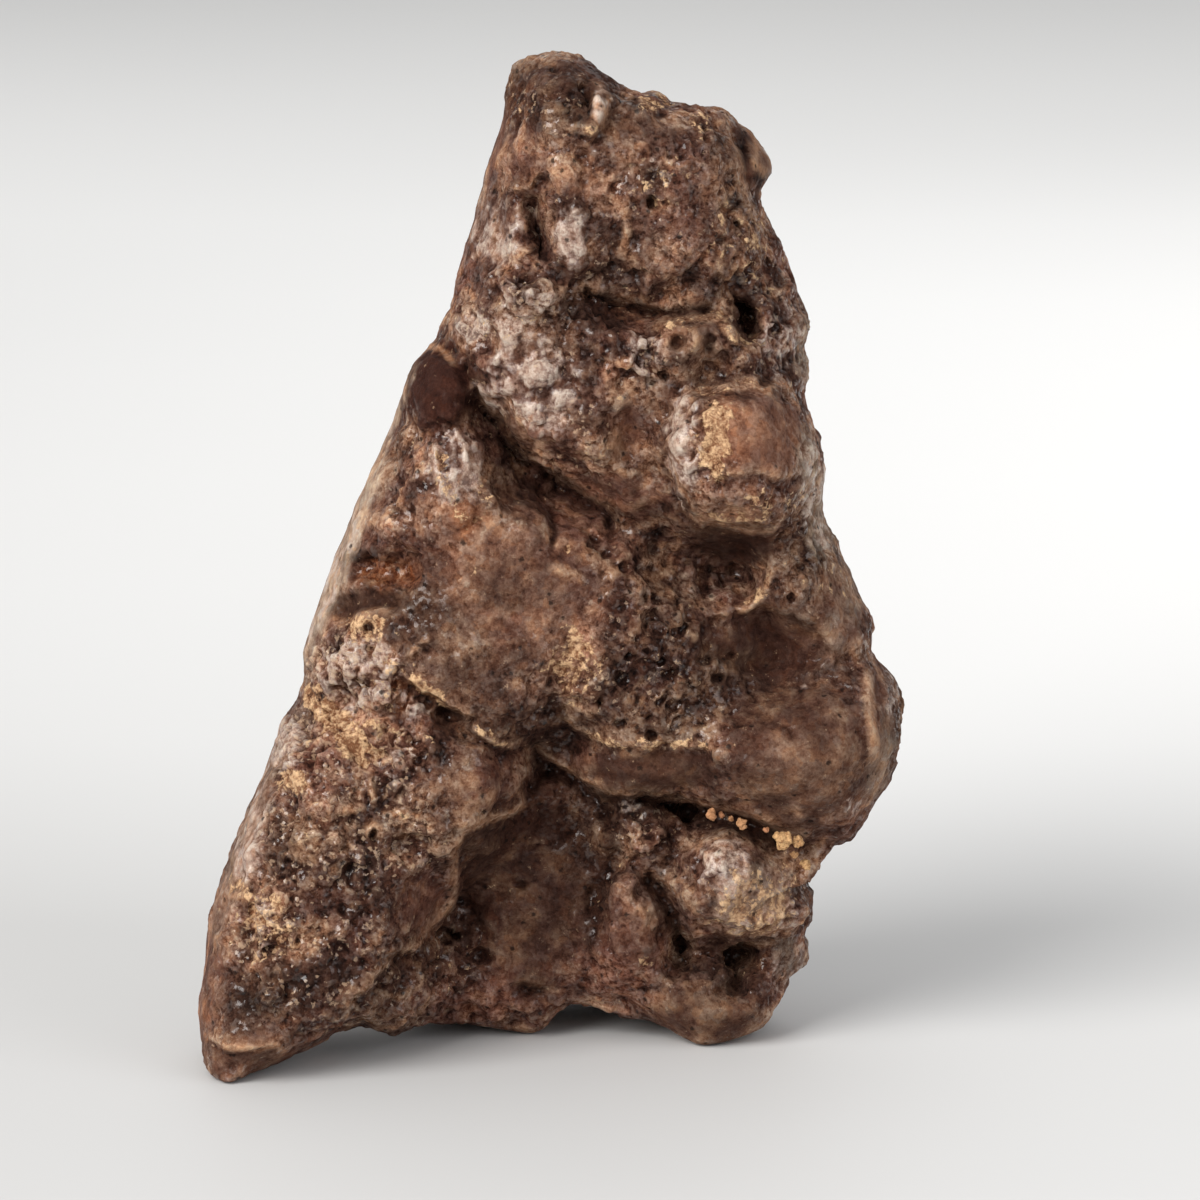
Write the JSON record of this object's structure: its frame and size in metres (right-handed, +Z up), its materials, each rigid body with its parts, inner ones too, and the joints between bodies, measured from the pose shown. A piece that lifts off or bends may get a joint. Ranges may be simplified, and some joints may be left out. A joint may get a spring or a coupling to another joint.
{
  "type": "meteorite",
  "caption": "Weathered iron meteorite: a rough pointed stone with a rusty brown crust, ochre soil in its hollows, standing on its own feet, with loose soil grains in a crevice.",
  "frame": {"origin": "under the middle of the part, at ground level", "axes": "+Z up; +X to the right of someone looking at the broad front face; +Y away from them, into the stone"},
  "size_m": [0.0542, 0.0328, 0.0775],
  "materials": {
    "iron_crust": "rough oxidised iron crust with soil in the hollows",
    "dry_soil": "matt dry soil"
  },
  "bodies": {
    "root": {"stone": "iron_crust", "soil_grain_1": "dry_soil", "soil_grain_2": "dry_soil", "soil_grain_3": "dry_soil", "soil_grain_4": "dry_soil", "soil_grain_5": "dry_soil", "soil_grain_6": "dry_soil", "soil_grain_7": "dry_soil", "soil_grain_8": "dry_soil", "soil_grain_9": "dry_soil"}
  },
  "joints": []
}
